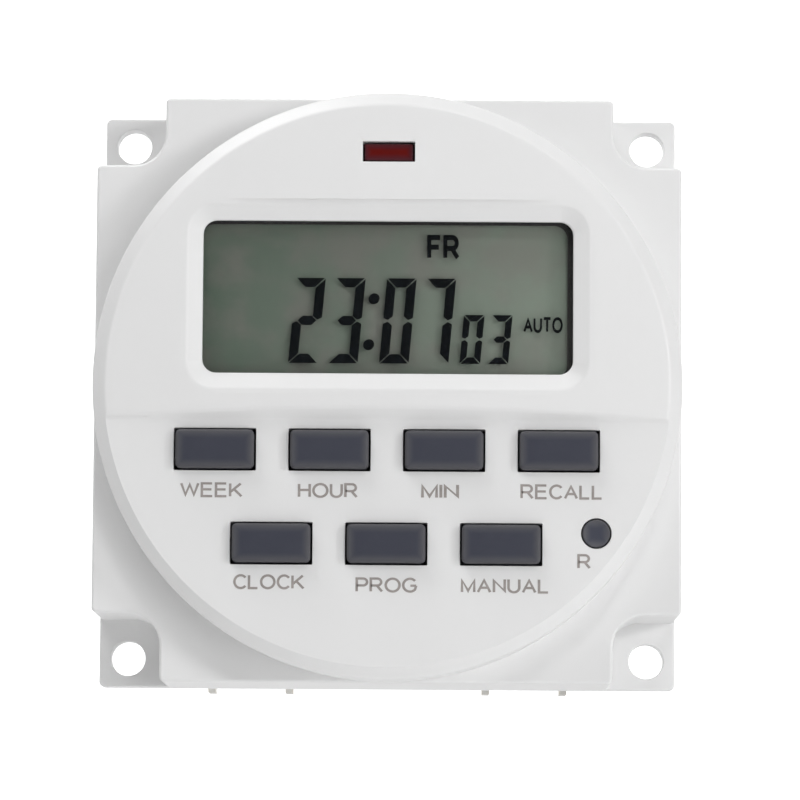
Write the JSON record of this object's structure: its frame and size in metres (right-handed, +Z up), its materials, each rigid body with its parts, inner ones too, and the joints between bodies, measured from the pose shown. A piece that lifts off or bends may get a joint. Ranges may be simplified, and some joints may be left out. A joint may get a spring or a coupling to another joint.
{
  "type": "programmable timer switch",
  "caption": "Square timer module with a round domed bezel, liquid crystal display, rubber keys, corner ears, blade terminals and a sprung rail foot.",
  "frame": {"origin": "where the axis of the round bezel meets the flat seat that rests on the rail", "axes": "+Z up, the face looks along -Y, X to the right seen from the front; the latch slides along Z and the keys along Y"},
  "size_m": [0.06, 0.032, 0.0602],
  "materials": {
    "grey_case": "fine matt, light grey",
    "dark_silicone": "matt dark grey",
    "clear_plastic": "clear",
    "red_plastic": "dark red, tinted",
    "display_glass": "grey-green reflective display",
    "dark_frame": "black",
    "carbon": "carbon-loaded rubber",
    "board_green": "solder mask over glass fibre",
    "chip_black": "moulded epoxy",
    "bright_metal": "zinc-plated",
    "yellow_film": "yellow box",
    "relay_blue": "blue case",
    "sleeve_black": "shrink sleeve",
    "ceramic_blue": "dipped disc",
    "resistor_green": "cement coating",
    "battery_green": "sleeved cell",
    "tinned_brass": "tin-plated",
    "latch_grey": "dark grey"
  },
  "bodies": {
    "case": {"front_housing": "grey_case", "rear_cover": "grey_case", "latch_spring": "bright_metal", "display_window": "clear_plastic", "lcd_glass": "display_glass", "zebra_strip": "dark_silicone", "lcd_frame": "dark_frame", "indicator_window": "red_plastic", "indicator_led": "red_plastic", "keypad_web": "dark_silicone", "control_board": "board_green", "power_board": "board_green", "board_link": "chip_black", "controller_chip": "chip_black", "clock_crystal": "bright_metal", "backup_battery": "battery_green", "battery_strap": "bright_metal", "relay": "relay_blue", "dropper_capacitor": "yellow_film", "smoothing_capacitor": "sleeve_black", "varistor": "ceramic_blue", "fuse_resistor": "resistor_green", "bridge_rectifier": "chip_black", "relay_transistor": "chip_black", "terminal_blade_1": "tinned_brass", "case_screw_1": "bright_metal", "terminal_blade_2": "tinned_brass", "case_screw_2": "bright_metal", "terminal_blade_3": "tinned_brass", "case_screw_3": "bright_metal", "terminal_blade_4": "tinned_brass", "case_screw_4": "bright_metal", "board_screw_1": "bright_metal", "board_screw_2": "bright_metal", "board_screw_3": "bright_metal", "power_screw_1": "bright_metal", "power_screw_2": "bright_metal"},
    "key_week_body": {"key_week": "dark_silicone", "pill_week": "carbon"},
    "key_hour_body": {"key_hour": "dark_silicone", "pill_hour": "carbon"},
    "key_minute_body": {"key_minute": "dark_silicone", "pill_minute": "carbon"},
    "key_recall_body": {"key_recall": "dark_silicone", "pill_recall": "carbon"},
    "key_clock_body": {"key_clock": "dark_silicone", "pill_clock": "carbon"},
    "key_program_body": {"key_program": "dark_silicone", "pill_program": "carbon"},
    "key_manual_body": {"key_manual": "dark_silicone", "pill_manual": "carbon"},
    "key_reset_body": {"key_reset": "dark_silicone", "pill_reset": "carbon"},
    "latch_body": {"rail_latch": "latch_grey"}
  },
  "joints": [
    {"name": "press_week", "type": "slide", "parent": "case", "child": "key_week_body", "axis": [0, 1, 0], "range_m": [0, 0.0008], "stiffness_N_per_m": 400, "springref_m": -0.0003},
    {"name": "press_hour", "type": "slide", "parent": "case", "child": "key_hour_body", "axis": [0, 1, 0], "range_m": [0, 0.0008], "stiffness_N_per_m": 400, "springref_m": -0.0003},
    {"name": "press_minute", "type": "slide", "parent": "case", "child": "key_minute_body", "axis": [0, 1, 0], "range_m": [0, 0.0008], "stiffness_N_per_m": 400, "springref_m": -0.0003},
    {"name": "press_recall", "type": "slide", "parent": "case", "child": "key_recall_body", "axis": [0, 1, 0], "range_m": [0, 0.0008], "stiffness_N_per_m": 400, "springref_m": -0.0003},
    {"name": "press_clock", "type": "slide", "parent": "case", "child": "key_clock_body", "axis": [0, 1, 0], "range_m": [0, 0.0008], "stiffness_N_per_m": 400, "springref_m": -0.0003},
    {"name": "press_program", "type": "slide", "parent": "case", "child": "key_program_body", "axis": [0, 1, 0], "range_m": [0, 0.0008], "stiffness_N_per_m": 400, "springref_m": -0.0003},
    {"name": "press_manual", "type": "slide", "parent": "case", "child": "key_manual_body", "axis": [0, 1, 0], "range_m": [0, 0.0008], "stiffness_N_per_m": 400, "springref_m": -0.0003},
    {"name": "press_reset", "type": "slide", "parent": "case", "child": "key_reset_body", "axis": [0, 1, 0], "range_m": [0, 0.0008], "stiffness_N_per_m": 400, "springref_m": -0.0003},
    {"name": "latch_slide", "type": "slide", "parent": "case", "child": "latch_body", "axis": [0, 0, -1], "range_m": [0, 0.0025], "stiffness_N_per_m": 900, "springref_m": -0.001, "deforming": ["latch_spring"]}
  ]
}
